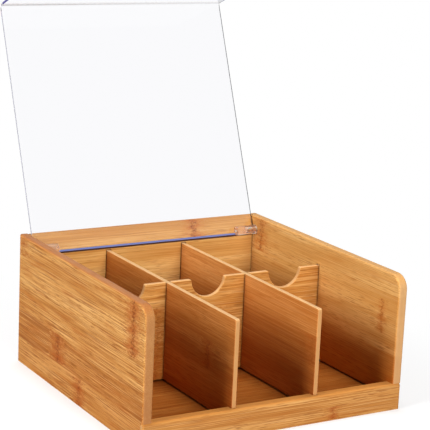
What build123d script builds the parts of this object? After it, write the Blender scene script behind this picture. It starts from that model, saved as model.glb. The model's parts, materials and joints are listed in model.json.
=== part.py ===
from build123d import *
from math import acos, atan2, cos, degrees, hypot, sin
import os

# A bamboo box with six compartments, an open front above a low rail, and a clear lid
# that turns on two pins. The lid is drawn open, leaning on the back.
# Millimetres. +Z is up and the open front faces -Y. The origin is on the surface that
# the box stands on, in the middle of the whole outline seen from above, open lid included.

os.makedirs("parts", exist_ok=True)

# Box, outside
box_width = 230
box_depth = 225
box_height = 109
wall_stock = 8
wall_ease = 1.8
front_corner_radius = 12

# Front rail, with a lip at each end that covers the side's end
rail_height = 21.5
rail_lip = 3.3
rail_round = 2.5
rail_inner_ease = 1

# Floor panel, in grooves
floor_stock = 5
floor_height = 8.9
floor_tongue = 3

# Dividers
divider_stock = 4
divider_ease = 0.8
divider_drop = 19
divider_setback = 4
divider_tongue = 4
divider_corner = 2
scoop_radius = 15.4
scoop_shoulder = 1.5

# Lid, one bent sheet
lid_stock = 2
lid_setback = 1.2
lid_bend_radius = 6
lid_rear_chamfer = 1.2
lid_rear_round = 0.7
flap_corner = 2

# Hinge
hinge_inset = 5.5
hinge_drop = 11.3
barrel_diameter = 8
barrel_length = 20
barrel_seat = 0.5
barrel_bore_depth = 11
barrel_edge_ease = 0.4
pin_diameter = 3
pin_seat_depth = 5
pin_reach = 8.5
pin_tip_chamfer = 0.4
back_land = 2.9

# Clearances
glue_line = 0.05
floor_play = 1.2
groove_clearance = 0.5
groove_head = 0.8
tongue_clearance = 0.1
lap_clearance = 0.25
lid_side_gap = 0.8
flap_gap = 0.3
pin_seat_clearance = 0.01
pin_running_clearance = 0.05
pin_end_clearance = 0.2
lean_clearance = 0.1
sweep_clearance = 0.2

# Lid in its own plane, from the hinge axis: along the lid, then towards the box
hinge_to_rear = wall_stock + hinge_inset
barrel_radius = barrel_diameter / 2
lid_under = -(barrel_radius - barrel_seat)
lid_over = lid_under - lid_stock
lid_rear = -barrel_radius
lid_reach = box_depth - hinge_to_rear - lid_setback

# The open lid leans on the top edge of the back panel
rest_distance = hypot(hinge_to_rear - back_land, hinge_drop)
rest_direction = atan2(hinge_drop, hinge_to_rear - back_land)
lean = acos((lean_clearance - lid_over) / rest_distance) - rest_direction
closing_travel = 90 + degrees(lean)

# How far the open lid reaches behind the box
bend_rise = (lid_reach - lid_bend_radius) * sin(lean)
bend_drop = (lid_over + lid_bend_radius) * cos(lean)
overhang = bend_rise - bend_drop + lid_bend_radius - hinge_to_rear

# Places that follow from the sizes
front = -(box_depth + overhang) / 2
rear = front + box_depth
middle = front + box_depth / 2
rail_inner = front + wall_stock
back_inner = rear - wall_stock
side_outer = box_width / 2
side_inner = side_outer - wall_stock
hinge_y = rear - hinge_to_rear
hinge_z = box_height - hinge_drop
flap_end = hinge_z - rail_height - flap_gap
lid_half_width = side_inner - lid_side_gap

# The back's inner top edge is bevelled clear of the lid's turning rear edge
sweep_radius = hypot(lid_rear, lid_over) + sweep_clearance
bevel_angle = acos(sweep_radius / rest_distance) - rest_direction
bevel_foot_z = hinge_z - (sweep_radius - hinge_inset * cos(bevel_angle)) / sin(bevel_angle)

# Floor panel, and the grooves that hold it with some play above
floor_underside = floor_height - floor_stock
floor_groove_height = floor_stock + floor_play
floor_groove_z = floor_underside + floor_groove_height / 2

# Six equal compartments: three bays across and two deep
bay_width = (2 * side_inner - 2 * divider_stock) / 3
bay_pitch = bay_width + divider_stock
long_divider_x = bay_pitch / 2
cross_divider_y = (rail_inner + back_inner) / 2
divider_front = front + divider_setback
divider_rear = back_inner + divider_tongue - tongue_clearance
divider_foot = floor_height + floor_play
divider_top = box_height - divider_drop
divider_height = divider_top - divider_foot
divider_z = divider_foot + divider_height / 2

# Grooves for the dividers' ends, and the half laps where the dividers cross
groove_width = divider_stock + 2 * groove_clearance
groove_height = divider_height + groove_head
groove_z = divider_foot + groove_height / 2
slot_width = divider_stock + 2 * lap_clearance

lid_plane = Plane(
    origin=(0, hinge_y, hinge_z),
    x_dir=(0, sin(lean), cos(lean)),
    z_dir=(1, 0, 0),
)

# Side panel: rounded at the front top, notched below for the rail's lip
with BuildPart() as side_right:
    with BuildSketch(Plane.YZ.offset(side_inner)):
        with Locations((middle, box_height / 2)):
            outline = Rectangle(box_depth, box_height)
        fillet(outline.vertices().group_by(Axis.Y)[-1].sort_by(Axis.X)[0], front_corner_radius)
        with Locations((front, 0)):
            Rectangle(
                2 * (rail_lip + glue_line),
                2 * (rail_height + glue_line),
                mode=Mode.SUBTRACT,
            )
    extrude(amount=wall_stock)
    rims = side_right.faces().filter_by(Axis.X).edges()
    fillet(rims.filter_by(lambda edge: edge.center().Z > rail_height + wall_ease), wall_ease)
    # groove for the floor panel, stopped at both ends
    with BuildSketch(Plane.YZ.offset(side_inner)):
        with Locations((middle, floor_groove_z)):
            Rectangle(box_depth - 2 * (wall_stock - floor_tongue), floor_groove_height)
    extrude(amount=floor_tongue, mode=Mode.SUBTRACT)
    # stopped groove for the cross divider
    with BuildSketch(Plane.YZ.offset(side_inner)):
        with Locations((cross_divider_y, groove_z)):
            Rectangle(groove_width, groove_height)
    extrude(amount=divider_tongue, mode=Mode.SUBTRACT)
    # blind hole for the hinge pin
    with BuildSketch(Plane.YZ.offset(side_inner)):
        with Locations((hinge_y, hinge_z)):
            Circle(pin_diameter / 2 + pin_seat_clearance)
    extrude(amount=pin_seat_depth + pin_end_clearance, mode=Mode.SUBTRACT)

with BuildPart() as side_left:
    mirror(side_right.part, about=Plane.YZ)

# Back panel, between the sides
with BuildPart() as back_panel:
    with BuildSketch(Plane.YZ.offset(glue_line - side_inner)):
        with BuildLine():
            Polyline(
                (back_inner, 0),
                (rear, 0),
                (rear, box_height),
                (rear - back_land, box_height),
                (back_inner, bevel_foot_z),
                close=True,
            )
        make_face()
    extrude(amount=2 * (side_inner - glue_line))
    top_rear = back_panel.edges().filter_by(Axis.X).group_by(Axis.Z)[-1].sort_by(Axis.Y)[-1]
    fillet(top_rear, wall_ease)
    # groove for the floor panel
    with BuildSketch(Plane.XZ.offset(-back_inner)):
        with Locations((0, floor_groove_z)):
            Rectangle(box_width, floor_groove_height)
    extrude(amount=-floor_tongue, mode=Mode.SUBTRACT)
    # stopped grooves for the long dividers
    with BuildSketch(Plane.XZ.offset(-back_inner)):
        with Locations((-long_divider_x, groove_z), (long_divider_x, groove_z)):
            Rectangle(groove_width, groove_height)
    extrude(amount=-divider_tongue, mode=Mode.SUBTRACT)

# Front rail, lapped over the sides' front ends
with BuildPart() as front_rail:
    with BuildSketch(Plane.YZ.offset(-side_outer)):
        with Locations((front + wall_stock / 2, rail_height / 2)):
            bar = Rectangle(wall_stock, rail_height)
        top_corners = bar.vertices().group_by(Axis.Y)[-1].sort_by(Axis.X)
        fillet(top_corners[0], rail_round)
        fillet(top_corners[1], rail_inner_ease)
    extrude(amount=box_width)
    fillet(front_rail.edges().filter_by(Axis.Z).group_by(Axis.Y)[0], wall_ease)
    # rabbets at the ends
    with BuildSketch():
        with Locations((-side_outer, rail_inner), (side_outer, rail_inner)):
            Rectangle(2 * (wall_stock + glue_line), 2 * (wall_stock - rail_lip))
    extrude(amount=rail_height, mode=Mode.SUBTRACT)
    # groove for the floor panel
    with BuildSketch(Plane.XZ.offset(-rail_inner)):
        with Locations((0, floor_groove_z)):
            Rectangle(box_width, floor_groove_height)
    extrude(amount=floor_tongue, mode=Mode.SUBTRACT)
    # grooves for the long dividers, open at the top
    with BuildSketch(Plane.XY.offset(divider_foot)):
        with Locations((-long_divider_x, rail_inner), (long_divider_x, rail_inner)):
            Rectangle(groove_width, 2 * (rail_inner - divider_front + tongue_clearance))
    extrude(amount=rail_height - divider_foot, mode=Mode.SUBTRACT)

# Floor panel, resting in the grooves
with BuildPart() as floor_panel:
    with BuildSketch(Plane.XY.offset(floor_underside)):
        with Locations((0, middle)):
            Rectangle(
                2 * (side_inner + floor_tongue - tongue_clearance),
                box_depth - 2 * (wall_stock - floor_tongue + tongue_clearance),
            )
    extrude(amount=floor_stock)

# Long divider, slotted from below at the crossing
with BuildPart() as divider_right:
    with BuildSketch(Plane.YZ.offset(long_divider_x - divider_stock / 2)):
        with Locations(((divider_front + divider_rear) / 2, divider_z)):
            board = Rectangle(divider_rear - divider_front, divider_height)
        fillet(board.vertices().group_by(Axis.Y)[-1].sort_by(Axis.X)[0], divider_corner)
    extrude(amount=divider_stock)
    rims = divider_right.faces().filter_by(Axis.X).edges()
    free_rims = rims.filter_by(lambda edge: edge.center().Z > divider_foot + divider_ease)
    fillet(free_rims.filter_by(lambda edge: edge.center().Y < back_inner), divider_ease)
    with BuildSketch(Plane.XY.offset(divider_foot)):
        with Locations((long_divider_x, cross_divider_y)):
            Rectangle(slot_width, slot_width)
    extrude(amount=divider_height / 2, mode=Mode.SUBTRACT)

with BuildPart() as divider_left:
    mirror(divider_right.part, about=Plane.YZ)

# Cross divider, scooped in each bay and slotted from above at the crossings
with BuildPart() as cross_divider:
    with BuildSketch(Plane.XZ.offset(-cross_divider_y - divider_stock / 2)) as cross_face:
        with Locations((0, divider_z)):
            Rectangle(2 * (side_inner + divider_tongue - tongue_clearance), divider_height)
        with Locations((-bay_pitch, divider_top), (0, divider_top), (bay_pitch, divider_top)):
            Circle(scoop_radius, mode=Mode.SUBTRACT)
        top_corners = cross_face.vertices().group_by(Axis.Y)[-1].sort_by(Axis.X)
        fillet(top_corners[1:-1], scoop_shoulder)
    extrude(amount=divider_stock)
    rims = cross_divider.faces().filter_by(Axis.Y).edges()
    fillet(rims.filter_by(lambda edge: edge.center().Z > divider_z + divider_ease), divider_ease)
    with BuildSketch(Plane.XY.offset(divider_z - lap_clearance)):
        with Locations((-long_divider_x, cross_divider_y), (long_divider_x, cross_divider_y)):
            Rectangle(slot_width, slot_width)
    extrude(amount=divider_height, mode=Mode.SUBTRACT)

# Lid: one sheet with its front flap bent down, drawn open
with BuildPart() as lid:
    with BuildSketch(lid_plane.offset(-lid_half_width)) as lid_section:
        with BuildLine():
            Polyline(
                (lid_rear, lid_over),
                (lid_reach, lid_over),
                (lid_reach, flap_end),
                (lid_reach - lid_stock, flap_end),
                (lid_reach - lid_stock, lid_under),
                (lid_rear, lid_under),
                close=True,
            )
        make_face()
        corners = lid_section.vertices()
        fillet(corners.sort_by_distance((lid_reach, lid_over))[0], lid_bend_radius)
        inner_bend = corners.sort_by_distance((lid_reach - lid_stock, lid_under))[0]
        fillet(inner_bend, lid_bend_radius - lid_stock)
        fillet(corners.sort_by_distance((lid_rear, lid_over))[0], lid_rear_round)
        chamfer(corners.sort_by_distance((lid_rear, lid_under))[0], lid_rear_chamfer)
    extrude(amount=2 * lid_half_width)
    along_lid = lid.edges().filter_by(Axis(lid_plane.origin, lid_plane.x_dir))
    flap_tips = along_lid.sort_by(Axis(lid_plane.origin, lid_plane.y_dir))[-2:]
    fillet(flap_tips, flap_corner)

# Hinge barrel, flattened where it is cemented to the lid, bored from its outer end
with BuildPart() as hinge_barrel_right:
    with BuildSketch(lid_plane.offset(lid_half_width - barrel_length)):
        Circle(barrel_radius)
        with Locations((0, lid_under - barrel_radius)):
            Rectangle(barrel_diameter, barrel_diameter, mode=Mode.SUBTRACT)
    extrude(amount=barrel_length)
    chamfer(hinge_barrel_right.edges().filter_by(GeomType.CIRCLE), barrel_edge_ease)
    with BuildSketch(lid_plane.offset(lid_half_width)):
        Circle(pin_diameter / 2 + pin_running_clearance)
    extrude(amount=-barrel_bore_depth, mode=Mode.SUBTRACT)

with BuildPart() as hinge_barrel_left:
    mirror(hinge_barrel_right.part, about=Plane.YZ)

# Hinge pin, fast in the side and loose in the barrel
with BuildPart() as hinge_pin_right:
    with BuildSketch(Plane.YZ.offset(lid_half_width - pin_reach)):
        with Locations((hinge_y, hinge_z)):
            Circle(pin_diameter / 2)
    extrude(amount=pin_reach + lid_side_gap + pin_seat_depth)
    chamfer(hinge_pin_right.edges().filter_by(GeomType.CIRCLE), pin_tip_chamfer)

with BuildPart() as hinge_pin_left:
    mirror(hinge_pin_right.part, about=Plane.YZ)

side_right.part.label = "side_right"
export_step(side_right.part, "parts/side_right.step")

side_left.part.label = "side_left"
export_step(side_left.part, "parts/side_left.step")

back_panel.part.label = "back_panel"
export_step(back_panel.part, "parts/back_panel.step")

front_rail.part.label = "front_rail"
export_step(front_rail.part, "parts/front_rail.step")

floor_panel.part.label = "floor_panel"
export_step(floor_panel.part, "parts/floor_panel.step")

divider_right.part.label = "divider_right"
export_step(divider_right.part, "parts/divider_right.step")

divider_left.part.label = "divider_left"
export_step(divider_left.part, "parts/divider_left.step")

cross_divider.part.label = "cross_divider"
export_step(cross_divider.part, "parts/cross_divider.step")

lid.part.label = "lid"
export_step(lid.part, "parts/lid.step")

hinge_barrel_right.part.label = "hinge_barrel_right"
export_step(hinge_barrel_right.part, "parts/hinge_barrel_right.step")

hinge_barrel_left.part.label = "hinge_barrel_left"
export_step(hinge_barrel_left.part, "parts/hinge_barrel_left.step")

hinge_pin_right.part.label = "hinge_pin_right"
export_step(hinge_pin_right.part, "parts/hinge_pin_right.step")

hinge_pin_left.part.label = "hinge_pin_left"
export_step(hinge_pin_left.part, "parts/hinge_pin_left.step")

print(f"hinge axis along X at y {hinge_y:.3f}, z {hinge_z:.3f}")
print(f"lean {degrees(lean):.3f} degrees, closing travel {closing_travel:.3f} degrees")
print(f"box front at y {front:.3f}, rear at y {rear:.3f}, lid {overhang:.3f} behind it")
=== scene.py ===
import json
import math

import bmesh
import bpy
from mathutils import Euler, Matrix, Vector


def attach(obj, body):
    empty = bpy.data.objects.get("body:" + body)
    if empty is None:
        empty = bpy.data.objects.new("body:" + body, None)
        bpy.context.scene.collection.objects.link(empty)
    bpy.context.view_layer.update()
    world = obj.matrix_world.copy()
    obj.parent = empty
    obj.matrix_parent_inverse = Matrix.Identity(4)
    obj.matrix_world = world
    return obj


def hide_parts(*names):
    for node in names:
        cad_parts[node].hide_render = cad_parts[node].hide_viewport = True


# Caramelised bamboo box with six compartments and a clear bent lid that leans on its back.
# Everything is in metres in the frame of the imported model: +Z up, open front towards -Y.

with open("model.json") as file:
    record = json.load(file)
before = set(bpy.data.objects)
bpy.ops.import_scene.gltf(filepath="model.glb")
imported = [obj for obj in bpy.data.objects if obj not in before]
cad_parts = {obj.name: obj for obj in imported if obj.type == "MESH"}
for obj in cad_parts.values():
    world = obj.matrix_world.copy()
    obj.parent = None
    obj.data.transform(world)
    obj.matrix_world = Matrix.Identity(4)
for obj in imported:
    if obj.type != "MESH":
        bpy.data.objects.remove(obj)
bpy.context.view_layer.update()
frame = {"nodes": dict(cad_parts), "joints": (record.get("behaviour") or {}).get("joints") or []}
nodes = frame["nodes"]
print("stage 1: frame loaded,", len(nodes), "nodes")

# Node settings that come up again and again
add = {"operation": "ADD"}
subtract = {"operation": "SUBTRACT"}
multiply = {"operation": "MULTIPLY"}
absolute = {"operation": "ABSOLUTE"}
maximum = {"operation": "MAXIMUM"}
greater = {"operation": "GREATER_THAN"}
smooth = {"interpolation_type": "SMOOTHSTEP"}
cover = {"data_type": "RGBA"}
tint = {"data_type": "RGBA", "blend_type": "MULTIPLY"}
usualNoise = (0.3, 0.7)      # most of a noise's values lie between these
wideNoise = (0.25, 0.75)     # nearly all of them lie between these


def linearColour(hexText):
    channels = [int(hexText[i:i + 2], 16) / 255 for i in (1, 3, 5)]
    return (*[c / 12.92 if c <= 0.04045 else ((c + 0.055) / 1.055) ** 2.4 for c in channels], 1.0)


def addNode(tree, kind, settings=None, inputs=()):
    # Inputs fill the live sockets in turn, or those that a dictionary names.
    # A node among them stands for its first live output.
    node = tree.nodes.new("ShaderNode" + kind)
    for name, value in (settings or {}).items():
        setattr(node, name, value)
    if isinstance(inputs, dict):
        pairs = [(node.inputs[name], value) for name, value in inputs.items()]
    else:
        pairs = list(zip([socket for socket in node.inputs if socket.enabled], inputs))
    for socket, value in pairs:
        if isinstance(value, bpy.types.Node):
            value = next(output for output in value.outputs if output.enabled)
        if isinstance(value, bpy.types.NodeSocket):
            tree.links.new(value, socket)
        else:
            socket.default_value = value
    return node


def newMaterial(name):
    material = bpy.data.materials.new(name)
    material.use_nodes = True
    material.node_tree.nodes.clear()
    return material, material.node_tree


def finishMaterial(tree, shader):
    addNode(tree, "OutputMaterial", inputs={"Surface": shader})


def dress(nodeName, material):
    nodes[nodeName].data.materials.clear()
    nodes[nodeName].data.materials.append(material)


# Caramelised bamboo board: flat strips of steamed bamboo pressed side by side, sanded and given a
# satin lacquer. The eye gets warm honey strips that differ in tone, long fibres broken into dark
# dashes, and a jagged dark band where a strip has a joint of the cane.
bambooLook = {
    "darkest": "#86491C",    # five tones, from the darkest strip to the lightest
    "dark": "#A2612A",
    "middle": "#B4763B",
    "light": "#C58C52",
    "lightest": "#D6A46E",
    "toneStops": {"dark": 0.28, "middle": 0.5, "light": 0.74},
    "dash": "#7E3F14",
    "patch": "#A45C22",
    "stain": "#A04F1C",
    "joint": "#743410",
    # painted shade: the tint that darkens and reddens the boards low down
    "deepTint": "#E6B478",
    # painted shade: the dark line where boards meet
    "seamShade": "#2E1206",
    # Patterns of the whole board: mm along the grain, mm across it, detail and roughness of the noise
    "boardPatterns": {
        "wander": (90.0, 20.0, 1.0, 0.5),            # slow waves of all the fibres
        "swirl": (100 / 11, 100 / 13, 2.0, 0.5),     # fibres bent beside a cane joint
        "ragged": (100 / 12, 100 / 45, 3.0, 0.65),   # teeth of a joint's band
        "specks": (100 / 45, 100 / 60, 2.0, 0.5),    # specks that break up its core
    },
    # Patterns that start anew in each strip and follow its fibres, in the same measures
    "stripPatterns": {
        "fibres": (150.0, 0.5, 3.0, 0.6),            # a real fibre bundle is about 0.5 mm wide
        "dashes": (13.0, 0.9, 1.0, 0.5),             # drawn coarser than real ones, which wouldn't show
        "lines": (75.0, 0.7, 2.0, 0.5),              # coarser than real too
        "zones": (110.0, 11.0, 1.0, 0.5),            # where dashes are few or many
        "patches": (38.0, 4.5, 3.0, 0.5),
    },
    "seedStep": (37.0, 11.0, 5.0),      # mm that a board's patterns move for each step of its seed
    "stripStep": 700.0,                 # most mm that a strip's fibres are moved along, by chance
    "paleLinesAt": (31.0, 17.0, 53.0),  # how far from the dark lines' noise the pale ones are read
    "paleLineDetail": 1.0,
    "wanderBy": 0.25,        # mm that a fibre strays from straight
    "swirlBy": 1.8,          # mm more beside a cane joint
    "raggedBy": 3.6,         # mm that a joint's band strays along the grain
    "jointEdge": 0.6,        # mm to each side of a strip's edge, over which the band fades out
    "coreHalfWidth": 5.0,    # mm, half of the dark core of a cane joint
    "stainHalfWidth": 19.0,  # mm, half of the reddish stain around it
    "bendHalfWidth": 22.0,   # mm to each side of a joint where the fibres bend
    "stripTone": 0.22,       # how far strips, zones and fibres move the tone, of 1 from darkest to lightest
    "zoneTone": 0.12,
    "fibreTone": 0.3,
    # Noise values where a mark starts and is full, and how much it covers when full
    "patchFade": (0.5, 0.68),
    "patchShare": 0.85,
    "dashFade": (0.55, 0.68),
    "darkLineFade": (0.52, 0.64),
    "darkLineShare": 0.85,
    "paleLineFade": (0.54, 0.68),
    "paleLineShare": 0.75,
    "stainShare": 0.95,
    # Two values of a noise, or of how far a face looks along the grain, up or outwards, and how much
    # is covered at each
    "dashZones": (0.35, 0.65, 0.15, 0.8),
    "stainStreaks": (0.35, 0.62, 0.25, 1.0),
    "coreSpecks": (0.45, 0.58, 0.15, 0.9),
    "endFade": (0.55, 0.95, 0.0, 0.8),
    "topFade": (0.35, 0.85, 0.0, 0.8),
    "outerFade": (0.3, 0.7, 0.0, 1.0),
    # painted shade low down: full below the first height, none above the second
    "deepFrom": 12.0,        # mm above the table, fully deep
    "deepTo": 74.0,          # mm above the table, not deep; a board may have its own
    "seamHalfWidth": 1.7,    # mm
    "bumpStrength": 0.5,
    "bumpDepth": 0.00006,    # m
    "roughness": (0.4, 0.53),  # smooth lacquer, and where dashes break it
    "gloss": 0.25,           # specular level of a thin satin finish, half sunk into the grain
    "ior": 1.5,
}

# Each board: the axes along its grain and across its strips, its strips' width and start in mm, and a
# seed for its patterns; the strength of its fibres, dashes, lines and tones, and of the painted shade
# low down; its shade, and the colours of its end grain and of its top edge, where light and shade are painted.
# Joints are places in mm along the grain, lowest and highest across it, strength, and spread of the
# band. Seams, lines of painted shade where boards meet, are an axis, strength and places in mm.
# Outside is the axis that the outer face looks along, and the tone that it is multiplied by, which is painted
# light.
boards = {
    "side_left": {
        "along": 1, "across": 2, "strip": 23.5, "start": -1.5, "seed": 3.0,
        "fibres": 1.05, "dashes": 0.9, "lines": 0.75, "tones": 0.75, "deep": 0.25,
        "shade": (1.10, 1.20, 1.09), "end": "#A06C40", "top": "#A5683A",
        "joints": [(-127.7, 66, 109, 1.0, 0.85), (-1.0, 22.5, 46, 0.9, 1.1),
                   (-40.6, 0, 22, 0.85, 0.8), (69.6, 93, 109, 0.5, 1.0)],
    },
    "side_right": {
        "along": 1, "across": 2, "strip": 24.0, "start": -4.0, "seed": 11.0,
        "fibres": 0.7, "dashes": 0.7, "lines": 0.15, "tones": 0.4, "deep": 1.0, "deepTo": 86.0,
        "shade": (1.22, 1.48, 1.60), "end": "#BE9262", "top": "#C8965C",
        "outside": (0, (0.91, 0.80, 0.67)),
        "joints": [(56.4, 80, 109, 0.9, 0.9), (-126.1, 58, 86, 0.8, 0.45)],
    },
    "back_panel": {
        "along": 0, "across": 2, "strip": 22.0, "start": 8.0, "seed": 23.0,
        "fibres": 0.7, "dashes": 0.6, "lines": 0.1, "tones": 0.3, "deep": 0.3,
        "shade": (1.38, 1.77, 2.07), "end": "#C4925F", "top": "#B98850",
        "outside": (1, (0.85, 0.70, 0.54)),
        "seams": [(0, 0.5, (-107.0, 107.0))],
        "joints": [(46.6, 94, 109, 1.0, 0.9), (-62.0, 52, 74, 0.5, 1.0)],
    },
    "front_rail": {
        "along": 0, "across": 2, "strip": 12.0, "start": -1.0, "seed": 31.0,
        "fibres": 1.25, "dashes": 0.9, "lines": 0.45, "tones": 0.4, "deep": 0.0,
        "shade": (1.03, 1.10, 1.02), "end": "#BC8C58", "top": "#C0803E",
        "joints": [(51.5, 1, 11, 0.9, 0.4)],
    },
    "floor_panel": {
        "along": 0, "across": 1, "strip": 21.0, "start": -3.0, "seed": 41.0,
        "fibres": 1.1, "dashes": 0.7, "lines": 0.5, "tones": 0.6, "deep": 0.0,
        "shade": (0.71, 0.54, 0.33), "end": "#C4925F",
        "seams": [(0, 0.85, (-107.0, -38.3, -34.3, 34.3, 38.3, 107.0)),
                  (1, 0.85, (-138.7, -36.2, -32.3, 70.2))],
        "joints": [(-30.0, -60, -39, 0.5, 1.0)],
    },
    "divider_left": {
        "along": 1, "across": 2, "strip": 23.0, "start": -6.0, "seed": 53.0,
        "fibres": 0.9, "dashes": 0.6, "lines": 0.2, "tones": 0.5, "deep": 0.85,
        "shade": (1.08, 0.97, 0.83), "end": "#BD8E5A", "top": "#D8B17D",
        "seams": [(2, 0.85, (8.9,)), (1, 0.45, (-36.2, -32.3, 70.2))],
        "joints": [(-104.7, 40, 63, 0.7, 0.9)],
    },
    "divider_right": {
        "along": 1, "across": 2, "strip": 22.0, "start": 2.0, "seed": 67.0,
        "fibres": 0.85, "dashes": 0.5, "lines": 0.2, "tones": 0.5, "deep": 0.6,
        "shade": (1.07, 0.98, 0.88), "end": "#BD8E5A", "top": "#D8B17D",
        "seams": [(2, 0.85, (8.9,)), (1, 0.45, (-36.2, -32.3, 70.2))],
        "joints": [(-138.0, 44, 68, 0.4, 1.0)],
    },
    "cross_divider": {
        "along": 0, "across": 2, "strip": 21.5, "start": 0.5, "seed": 79.0,
        "fibres": 1.0, "dashes": 0.9, "lines": 0.55, "tones": 0.5, "deep": 0.6,
        "shade": (1.19, 1.34, 1.26), "end": "#C4925F", "top": "#DCAC76",
        "seams": [(2, 0.85, (8.9,)), (0, 0.5, (-107.0, -38.3, -34.3, 34.3, 38.3, 107.0))],
        # the joint at -47 mm, across the left bay, is painted shade: it darkens and reddens the panel where the
        # left wall shades it
        "joints": [(15.0, 44, 65, 0.3, 1.0), (-47.0, 8, 70, 0.6, 1.0)],
    },
}


def bambooMaterial(name, board):
    look = bambooLook
    hues = {key: tuple(c * s for c, s in zip(linearColour(value), (*board["shade"], 1.0)))
            for key, value in look.items() if isinstance(value, str)}
    material, tree = newMaterial("caramelisedBamboo_" + name)
    spot = addNode(tree, "TexCoord")
    inMillimetres = addNode(tree, "VectorMath", {"operation": "SCALE"}, (spot.outputs["Object"], 1000.0))
    parts = addNode(tree, "SeparateXYZ", inputs=(inMillimetres,))
    along = parts.outputs[board["along"]]
    across = parts.outputs[board["across"]]
    through = parts.outputs[3 - board["along"] - board["across"]]
    straight = addNode(tree, "CombineXYZ", inputs=(along, across, through))
    grain = addNode(tree, "VectorMath", add, (straight, [step * board["seed"] for step in look["seedStep"]]))
    noise, scaled = {}, {}
    for key, (length, width, detail, rough) in look["boardPatterns"].items():
        scaled[key] = addNode(tree, "VectorMath", multiply, (grain, (1 / length, 1 / width, 1 / width)))
        noise[key] = addNode(tree, "TexNoise", inputs=(scaled[key], 1.0, detail, rough))

    # Cane joints: a ragged band across one strip, with bent fibres to both sides of it
    edge = look["jointEdge"]
    ragged = addNode(tree, "MapRange", inputs=(noise["ragged"], *usualNoise, -look["raggedBy"], look["raggedBy"]))
    shifted = addNode(tree, "Math", add, (along, ragged))
    bands = None
    for place, lowest, highest, strength, spread in board["joints"]:
        apart = addNode(tree, "Math", subtract, (shifted, place))
        reach = addNode(tree, "Math", absolute, (apart,))
        over = addNode(tree, "MapRange", smooth, (across, lowest - edge, lowest + edge))
        under = addNode(tree, "MapRange", smooth, (across, highest - edge, highest + edge, strength, 0.0))
        inside = addNode(tree, "Math", multiply, (over, under))
        shares = []
        for halfWidth in (look["coreHalfWidth"], look["stainHalfWidth"], look["bendHalfWidth"]):
            near = addNode(tree, "MapRange", smooth, (reach, 0.0, halfWidth * spread, 1.0, 0.0))
            shares.append(addNode(tree, "Math", multiply, (near, inside)))
        bands = [addNode(tree, "Math", maximum, pair) for pair in zip(bands, shares)] if bands else shares
    core, stain, halo = bands

    # Fibres wander a little, and more beside a cane joint
    wander = addNode(tree, "MapRange", inputs=(noise["wander"], *wideNoise, -look["wanderBy"], look["wanderBy"]))
    turned = addNode(tree, "MapRange", inputs=(noise["swirl"], *usualNoise, -look["swirlBy"], look["swirlBy"]))
    bent = addNode(tree, "Math", multiply, (turned, halo))
    sideways = addNode(tree, "Math", add, (wander, bent))

    # Strips side by side: each has its own tone and its own fibres
    stripPlace = addNode(tree, "Math", subtract, (across, board["start"]))
    stripCount = addNode(tree, "Math", {"operation": "DIVIDE"}, (stripPlace, board["strip"]))
    stripNumber = addNode(tree, "Math", {"operation": "FLOOR"}, (stripCount,))
    stripSeed = addNode(tree, "Math", add, (stripNumber, board["seed"]))
    stripChance = addNode(tree, "TexWhiteNoise", {"noise_dimensions": "1D"}, (stripSeed,))
    stripShift = addNode(tree, "Math", multiply, (stripChance, look["stripStep"]))
    shift = addNode(tree, "CombineXYZ", inputs=(stripShift, sideways, sideways))
    fibreSpot = addNode(tree, "VectorMath", add, (grain, shift))
    for key, (length, width, detail, rough) in look["stripPatterns"].items():
        scaled[key] = addNode(tree, "VectorMath", multiply, (fibreSpot, (1 / length, 1 / width, 1 / width)))
        noise[key] = addNode(tree, "TexNoise", inputs=(scaled[key], 1.0, detail, rough))
    elsewhere = addNode(tree, "VectorMath", add, (scaled["lines"], look["paleLinesAt"]))
    paleNoise = addNode(tree, "TexNoise", inputs=(elsewhere, 1.0, look["paleLineDetail"]))

    # Tone: the strip, then slow zones, then fibres
    stripTone = look["stripTone"] * board["tones"]
    tone = addNode(tree, "MapRange", inputs=(stripChance, 0.0, 1.0, 0.5 - stripTone, 0.5 + stripTone))
    for key, limits, reach in (("zones", usualNoise, look["zoneTone"]),
                               ("fibres", wideNoise, look["fibreTone"] * board["fibres"])):
        change = addNode(tree, "MapRange", inputs=(noise[key], *limits, -reach, reach))
        tone = addNode(tree, "Math", add, (tone, change))
    ramp = addNode(tree, "ValToRGB", inputs=(tone,))
    ramp.color_ramp.elements[0].color = hues["darkest"]
    ramp.color_ramp.elements[1].color = hues["lightest"]
    for key, place in look["toneStops"].items():
        ramp.color_ramp.elements.new(place).color = hues[key]

    # Long patches that steaming has turned more orange
    patchShare = addNode(tree, "MapRange", smooth,
                         (noise["patches"], *look["patchFade"], 0.0, look["patchShare"] * board["tones"]))

    # Short dark dashes, denser in some zones, and long dark and pale lines
    zoneShare = addNode(tree, "MapRange", inputs=(noise["zones"], *look["dashZones"]))
    dashShape = addNode(tree, "MapRange", smooth, (noise["dashes"], *look["dashFade"]))
    dashShare = addNode(tree, "Math", multiply, (dashShape, zoneShare))
    dashAmount = addNode(tree, "Math", multiply, (dashShare, board["dashes"]))
    darkLine = addNode(tree, "MapRange", smooth,
                       (noise["lines"], *look["darkLineFade"], 0.0, look["darkLineShare"] * board["lines"]))
    paleLine = addNode(tree, "MapRange", smooth,
                       (paleNoise, *look["paleLineFade"], 0.0, look["paleLineShare"] * board["lines"]))

    # The joint: a stain that thins out in streaks, and a dark core broken up along its length
    streaky = addNode(tree, "MapRange", inputs=(noise["patches"], *look["stainStreaks"]))
    stainBroken = addNode(tree, "Math", multiply, (stain, streaky))
    stainShare = addNode(tree, "Math", multiply, (stainBroken, look["stainShare"]))
    blot = addNode(tree, "MapRange", inputs=(noise["specks"], *look["coreSpecks"]))
    coreShare = addNode(tree, "Math", multiply, (core, blot))

    # All of these laid over the tone, from the lowest up
    colour = ramp
    for share, key in ((patchShare, "patch"), (dashAmount, "dash"), (paleLine, "lightest"),
                       (darkLine, "dash"), (stainShare, "stain"), (coreShare, "joint")):
        colour = addNode(tree, "Mix", cover, (share, colour, hues[key]))
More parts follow.
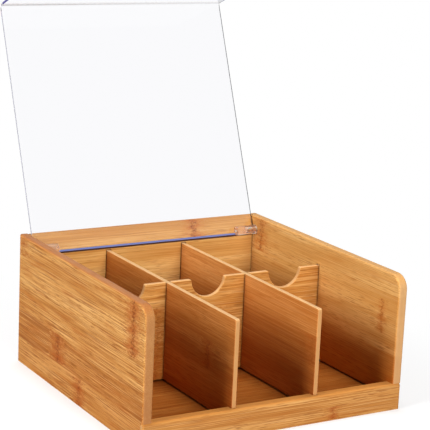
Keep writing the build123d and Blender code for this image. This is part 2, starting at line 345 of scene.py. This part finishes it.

    # Painted shade: darker and redder towards the bottom, for the shade that lies low in the box
    deepTo = board.get("deepTo", look["deepTo"])
    deeper = addNode(tree, "MapRange", smooth, (parts.outputs[2], look["deepFrom"], deepTo, board["deep"], 0.0))
    colour = addNode(tree, "Mix", tint, (deeper, colour, linearColour(look["deepTint"])))

    # Painted shade: where boards meet, a dark line is painted for the shade in the narrow gap
    for axis, strength, places in board.get("seams", []):
        for place in places:
            apart = addNode(tree, "Math", subtract, (parts.outputs[axis], place))
            reach = addNode(tree, "Math", absolute, (apart,))
            seamShade = addNode(tree, "MapRange", smooth, (reach, 0.0, look["seamHalfWidth"], strength, 0.0))
            colour = addNode(tree, "Mix", cover, (seamShade, colour, linearColour(look["seamShade"])))

    # End grain has its own tone. Upward faces take a colour set board by board: the sanded edge's tone, lightened
    # or darkened as painted light and painted shade for how the light falls on each top edge
    facing = addNode(tree, "SeparateXYZ", inputs=(spot.outputs["Normal"],))
    alongFacing = addNode(tree, "Math", absolute, (facing.outputs[board["along"]],))
    endShare = addNode(tree, "MapRange", smooth, (alongFacing, *look["endFade"]))
    colour = addNode(tree, "Mix", cover, (endShare, colour, linearColour(board["end"])))
    if "top" in board:
        paintedTopShare = addNode(tree, "MapRange", smooth, (facing.outputs[2], *look["topFade"]))
        colour = addNode(tree, "Mix", cover, (paintedTopShare, colour, linearColour(board["top"])))

    # Painted light: the board's shade was matched on its inner face, in the box's own reddened light, so the outer
    # face is multiplied back to the plain wood's tone
    if "outside" in board:
        axis, factor = board["outside"]
        outward = addNode(tree, "MapRange", smooth, (facing.outputs[axis], *look["outerFade"]))
        colour = addNode(tree, "Mix", tint, (outward, colour, (*factor, 1.0)))

    height = addNode(tree, "Math", subtract, (noise["fibres"], dashAmount))
    bump = addNode(tree, "Bump", inputs={"Strength": look["bumpStrength"], "Distance": look["bumpDepth"],
                                         "Height": height})
    sheen = addNode(tree, "MapRange", inputs=(noise["dashes"], *usualNoise, *look["roughness"]))
    wood = addNode(tree, "BsdfPrincipled", inputs={"Base Color": colour, "Roughness": sheen, "IOR": look["ior"],
                                                   "Specular IOR Level": look["gloss"], "Normal": bump})
    finishMaterial(tree, wood)
    return material


for nodeName, board in boards.items():
    dress(nodeName, bambooMaterial(nodeName, board))
print("stage 2: bamboo boards finished,", len(boards))


# Drawn brass rod: a warm satin metal with fine lines along it from the drawing die. Real lines are far
# finer than a render shows, so they are drawn coarser.
brassLook = {
    "dark": "#E2BC78",
    "bright": "#F6DCA0",
    "roughness": (0.34, 0.5),
    "lineLength": 1000 / 60,     # mm
    "lineSpacing": 0.35,         # mm
    "lineDetail": 2.0,
}


def brassMaterial():
    look = brassLook
    material, tree = newMaterial("drawnBrass")
    spot = addNode(tree, "TexCoord")
    perMetre = [1000 / size for size in (look["lineLength"], look["lineSpacing"], look["lineSpacing"])]
    scaled = addNode(tree, "VectorMath", multiply, (spot.outputs["Object"], perMetre))
    lines = addNode(tree, "TexNoise", inputs=(scaled, 1.0, look["lineDetail"]))
    tone = addNode(tree, "ValToRGB", inputs=(lines,))
    tone.color_ramp.elements[0].color = linearColour(look["dark"])
    tone.color_ramp.elements[1].color = linearColour(look["bright"])
    polish = addNode(tree, "MapRange", inputs=(lines, *usualNoise, *look["roughness"]))
    rod = addNode(tree, "BsdfPrincipled", inputs={"Base Color": tone, "Metallic": 1.0, "Roughness": polish})
    finishMaterial(tree, rod)
    return material


brass = brassMaterial()
for nodeName in ("hinge_pin_left", "hinge_pin_right"):
    dress(nodeName, brass)


# Cast acrylic sheet: clear and smooth as glass, with the faint lilac tint that a thick sheet shows.
# Its sawn and flame-polished edges gather that tint and look blue, violet or grey; the scraped right edge and the
# rear edge itself are painted near black and dark brown as painted shadow.
# Each finish: colour, share of light let through, roughness.
lidFinishes = {
    "castAcrylicSheet": ("#FDFDFF", 1.0, 0.0),
    "flamePolishedEdge": ("#ACACB8", 0.8, 0.1),    # the left edge
    "sawnEdgeTinted": ("#6B78AE", 0.1, 0.35),      # a strip along the rear edge, where its blue shows through
    "flapEdgeTinted": ("#3C3580", 0.5, 0.2),       # the flap's two sides
    # painted shadow: the right edge is near black for the shadow in the gap beside the side wall
    "scrapedEdgePaintedShadow": ("#1A1A24", 0.1, 0.3),          # the right edge
    # painted shadow: the rear edge is dark brown for the lid's shadow on the back panel below it
    "sawnEdgePaintedShadow": ("#3A1E1A", 0.1, 0.35),      # the rear edge itself, in the shade of the wood
    "sawnFlapEnd": ("#8C9AF0", 0.3, 0.3),
}
barrelFinish = ("#FDF8F6", 0.97, 0.02)
acrylicLook = {
    "ior": 1.49,
    "trappedAfter": 4.5,     # bounces after which light leaves the sheet, so that its bend isn't black
}


def acrylicMaterial(name, colour, throughShare, roughness):
    material, tree = newMaterial(name)
    clear = addNode(tree, "BsdfPrincipled", inputs={"Base Color": linearColour(colour), "Roughness": roughness,
                                                    "IOR": acrylicLook["ior"], "Transmission Weight": throughShare})
    unbent = addNode(tree, "BsdfTransparent", inputs=(linearColour(colour),))

    # Light goes straight on where it makes the shadow, and where the sheet has caught it for too long
    ray = addNode(tree, "LightPath")
    shadow = addNode(tree, "Math", multiply, (ray.outputs["Is Shadow Ray"], throughShare))
    trapped = addNode(tree, "Math", greater, (ray.outputs["Ray Depth"], acrylicLook["trappedAfter"]))
    unbentShare = addNode(tree, "Math", maximum, (shadow, trapped))
    finishMaterial(tree, addNode(tree, "MixShader", inputs=(unbentShare, clear, unbent)))
    return material


# The lid: one sheet with its front flap bent down, drawn open. Sizes in metres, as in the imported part.
lidSizes = {
    "reach": 0.2103,         # hinge axis to the bent front
    "rear": -0.004,          # rear edge, behind the axis
    "under": -0.0035,        # face towards the box
    "over": -0.0055,         # outer face
    "flapEnd": 0.0759,
    "halfWidth": 0.1062,
    "bendRadius": 0.006,
    "bendSteps": 14,
    "rearChamfer": 0.0012,
    "rearChamferSteps": 2,
    "rearRound": 0.0007,
    "rearRoundSteps": 4,
    "flapCorner": 0.002,
    "flapCornerSteps": 6,
    "edgeEase": 0.00018,
    "edgeEaseSteps": 2,
    "edgeSearch": 0.0006,    # how near an edge has to be to where it is looked for
    "easedAngle": 60,        # degrees; sharper edges than this are eased
    "smoothAngle": 32,       # degrees; flatter edges than this are shaded smooth
    "largestSmooth": 0.0002,  # m2; larger faces are flat and shaded flat
    "rearTint": 0.0027,      # the rear edge's tint shows this far up the sheet
    "flapEndBand": 0.001,    # the flap's end has its finish this far up
    "cementLine": 0.00003,   # keeps the sheet just off the barrels' flats
}
hinge = frame["joints"][0]
hingePoint = Vector(hinge["pos_m"])
lean = math.radians(max(hinge["range_deg"]) - 90)
lidAxes = Matrix(((0, 0, 1), (math.sin(lean), -math.cos(lean), 0), (math.cos(lean), math.sin(lean), 0))).to_4x4()
lidPlace = Matrix.Translation(hingePoint) @ lidAxes


def edgesNear(bm, along, across, direction):
    found = []
    for edge in bm.edges:
        middle = (edge.verts[0].co + edge.verts[1].co) / 2
        run = (edge.verts[1].co - edge.verts[0].co).normalized()
        offset = max(abs(middle.x - along), abs(middle.y - across))
        if abs(run[direction]) > 0.99 and offset < lidSizes["edgeSearch"]:
            found.append(edge)
    return found


def roundEdges(bm, edges, radius, steps):
    bmesh.ops.bevel(bm, geom=edges, offset=radius, offset_type="OFFSET", affect="EDGES", segments=steps,
                    profile=0.5, material=-1, clamp_overlap=True)


def cutAcross(bm, place, normal):
    bmesh.ops.bisect_plane(bm, geom=bm.verts[:] + bm.edges[:] + bm.faces[:], dist=1e-7,
                           plane_co=place, plane_no=normal)


def buildLid():
    s = lidSizes
    stock = s["under"] - s["over"]
    under = s["under"] - s["cementLine"]
    corners = [(s["rear"], s["over"]), (s["reach"], s["over"]), (s["reach"], s["flapEnd"]),
               (s["reach"] - stock, s["flapEnd"]), (s["reach"] - stock, under), (s["rear"], under)]
    bm = bmesh.new()
    section = bm.faces.new([bm.verts.new((u, v, -s["halfWidth"])) for u, v in corners])
    grown = bmesh.ops.extrude_face_region(bm, geom=[section])["geom"]
    bmesh.ops.translate(bm, verts=[g for g in grown if isinstance(g, bmesh.types.BMVert)],
                        vec=(0, 0, 2 * s["halfWidth"]))
    roundEdges(bm, edgesNear(bm, s["reach"], s["over"], 2), s["bendRadius"], s["bendSteps"])
    roundEdges(bm, edgesNear(bm, s["reach"] - stock, under, 2), s["bendRadius"] - stock, s["bendSteps"])
    roundEdges(bm, edgesNear(bm, s["rear"], under, 2), s["rearChamfer"], s["rearChamferSteps"])
    roundEdges(bm, edgesNear(bm, s["rear"], s["over"], 2), s["rearRound"], s["rearRoundSteps"])
    roundEdges(bm, edgesNear(bm, s["reach"] - stock / 2, s["flapEnd"], 0), s["flapCorner"], s["flapCornerSteps"])
    bmesh.ops.recalc_face_normals(bm, faces=bm.faces)
    sharp = [e for e in bm.edges if e.is_manifold and e.calc_face_angle() > math.radians(s["easedAngle"])]
    roundEdges(bm, sharp, s["edgeEase"], s["edgeEaseSteps"])
    bmesh.ops.recalc_face_normals(bm, faces=bm.faces)

    # Cuts where the edges change their finish, then a finish for each face; two of the edge finishes are painted
    # shadow
    flapFrom = s["over"] + s["bendRadius"]
    tintTo = s["rear"] + s["rearTint"]
    cutAcross(bm, (0, flapFrom, 0), (0, 1, 0))
    cutAcross(bm, (tintTo, 0, 0), (1, 0, 0))
    slots = {name: slot for slot, name in enumerate(lidFinishes)}
    for face in bm.faces:
        middle = face.calc_center_median()
        face.smooth = face.calc_area() < s["largestSmooth"]
        if abs(face.normal.z) > 0.5 and middle.y > flapFrom:
            face.material_index = slots["flapEdgeTinted"]
        elif abs(face.normal.z) > 0.5:
            face.material_index = slots["flamePolishedEdge" if face.normal.z < 0 else "scrapedEdgePaintedShadow"]
        elif middle.y > s["flapEnd"] - s["flapEndBand"]:
            face.material_index = slots["sawnFlapEnd"]
        elif middle.x < tintTo and face.normal.y > -0.5:
            onEdge = middle.x <= s["rear"] + s["rearChamfer"]
            face.material_index = slots["sawnEdgePaintedShadow" if onEdge else "sawnEdgeTinted"]
    for edge in bm.edges:
        edge.smooth = edge.is_manifold and edge.calc_face_angle() < math.radians(s["smoothAngle"])

    bm.transform(lidPlace)
    mesh = bpy.data.meshes.new("lidSheet")
    bm.to_mesh(mesh)
    bm.free()
    for name, finish in lidFinishes.items():
        mesh.materials.append(acrylicMaterial(name, *finish))
    lid = bpy.data.objects.new("lid_sheet", mesh)
    bpy.context.scene.collection.objects.link(lid)
    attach(lid, "lid")
    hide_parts("lid")
    lid.visible_diffuse = False  # its shadow is reckoned by shadow rays alone


buildLid()
barrelAcrylic = acrylicMaterial("turnedAcrylicRod", *barrelFinish)
for nodeName in ("hinge_barrel_left", "hinge_barrel_right"):
    dress(nodeName, barrelAcrylic)
print("stage 3: lid, barrels and pins finished")


# Floor: a matt sheet. To the camera and through the lid it glows as well, so it meets the white
# background and still holds the box's shadow. Light that it gives the box comes from its colour alone.
stageLook = {
    "floorSize": 30.0,
    "floorColour": "#BEBEBE",
    "floorGlow": 0.46,
    "floorMirrored": 0.15,   # share of the floor's light that a reflection shows
    "mirrored": 0.6,         # share of the white that a reflection shows
    "manyBounces": 3.5,      # after more bounces light sees the full white
    "surround": 0.03,        # the world's own light on the box
    "fadeCentre": (-0.1, -0.08, 0.0),
    "fadeFrom": 0.21,        # m from that centre, where the floor starts to turn plain white
    "fadeTo": 0.4,
}


def whiteFor(tree):
    # 1 for what the camera and clear plastic see, less for reflections
    ray = addNode(tree, "LightPath")
    often = addNode(tree, "Math", greater, (ray.outputs["Ray Depth"], stageLook["manyBounces"]))
    mirrorLevel = addNode(tree, "Math", maximum, (often, stageLook["mirrored"]))
    mirrored = addNode(tree, "Math", multiply, (ray.outputs["Is Glossy Ray"], mirrorLevel))
    seen = addNode(tree, "Math", maximum, (ray.outputs["Is Camera Ray"], mirrored))
    seenToo = addNode(tree, "Math", maximum, (seen, ray.outputs["Is Transmission Ray"]))
    return seenToo, ray, often


floorMesh = bpy.data.meshes.new("studioFloor")
bm = bmesh.new()
bmesh.ops.create_grid(bm, x_segments=1, y_segments=1, size=stageLook["floorSize"] / 2)
bm.to_mesh(floorMesh)
bm.free()
floorMaterial, tree = newMaterial("mattPaperFloor")
paper = addNode(tree, "BsdfDiffuse", inputs=(linearColour(stageLook["floorColour"]),))
seenToo, ray, often = whiteFor(tree)
glowLevel = addNode(tree, "Math", multiply, (seenToo, stageLook["floorGlow"]))
glow = addNode(tree, "Emission", inputs={"Strength": glowLevel})
together = addNode(tree, "AddShader", inputs=(paper, glow))
spot = addNode(tree, "TexCoord")
distance = addNode(tree, "VectorMath", {"operation": "DISTANCE"}, (spot.outputs["Object"], stageLook["fadeCentre"]))
fade = addNode(tree, "MapRange", smooth, (distance, stageLook["fadeFrom"], stageLook["fadeTo"]))
fadeSeen = addNode(tree, "Math", multiply, (fade, seenToo))
white = addNode(tree, "Emission")
faded = addNode(tree, "MixShader", inputs=(fadeSeen, together, white))
seenThrough = addNode(tree, "Math", maximum, (often, ray.outputs["Is Transmission Ray"]))
reflected = addNode(tree, "Math", {**subtract, "use_clamp": True}, (ray.outputs["Is Glossy Ray"], seenThrough))
dim = addNode(tree, "Math", multiply, (reflected, 1.0 - stageLook["floorMirrored"]))
dark = addNode(tree, "Emission", inputs={"Strength": 0.0})
finishMaterial(tree, addNode(tree, "MixShader", inputs=(dim, faded, dark)))
floorMesh.materials.append(floorMaterial)
studioFloor = bpy.data.objects.new("studio_floor", floorMesh)
bpy.context.scene.collection.objects.link(studioFloor)

world = bpy.data.worlds.new("studio")
bpy.context.scene.world = world
world.use_nodes = True
tree = world.node_tree
tree.nodes.clear()
seenToo = whiteFor(tree)[0]
level = addNode(tree, "MapRange", inputs=(seenToo, 0.0, 1.0, stageLook["surround"], 1.0))
sky = addNode(tree, "Background", inputs={"Strength": level})
addNode(tree, "OutputWorld", inputs={"Surface": sky})

# Soft boxes: place, size in metres, power in watts. Each one points at the box.
softBoxes = {
    "leftSoftBox": ((-3.62, -0.03, 1.75), 2.1, 178.0),
    "frontSoftBox": ((0.0, -3.834, 1.296), 1.5, 170.0),
    "topSoftBox": ((0.3, 0.45, 3.9), 1.3, 85.0),
}
lightTarget = Vector((0.0, -0.03, 0.06))
for name, (place, size, power) in softBoxes.items():
    light = bpy.data.lights.new(name, "AREA")
    light.shape = "SQUARE"
    light.size = size
    light.energy = power
    lamp = bpy.data.objects.new(name, light)
    lamp.location = place
    lamp.rotation_euler = (lightTarget - Vector(place)).to_track_quat("-Z", "Y").to_euler()
    lamp.visible_camera = lamp.visible_glossy = lamp.visible_transmission = False  # no lamp shows in the lid
    bpy.context.scene.collection.objects.link(lamp)
print("stage 4: floor, surround and lamps placed")

# Camera: a long lens about 1.2 m from the box, from the front left and a little above the open lid
cameraLook = {
    "place": (-0.60883, -1.06147, 0.42135),
    "yaw": 0.52933,          # radians, as are pitch and roll
    "pitch": 0.22217,
    "roll": 0.04399,
    "lens": 129.02,          # mm
    "sensor": 36.0,          # mm
    "shift": (0.03, -0.03),
    "clip": (0.01, 50.0),    # m
}
lens = bpy.data.cameras.new("camera")
lens.lens = cameraLook["lens"]
lens.sensor_width = cameraLook["sensor"]
lens.shift_x, lens.shift_y = cameraLook["shift"]
lens.clip_start, lens.clip_end = cameraLook["clip"]
camera = bpy.data.objects.new("camera", lens)
turn = Euler((math.pi / 2 - cameraLook["pitch"], 0.0, -cameraLook["yaw"])).to_matrix()
turn = turn @ Matrix.Rotation(cameraLook["roll"], 3, "Z")
camera.matrix_world = Matrix.Translation(cameraLook["place"]) @ turn.to_4x4()
bpy.context.scene.collection.objects.link(camera)
bpy.context.scene.camera = camera
bpy.context.scene.view_settings.view_transform = "Standard"
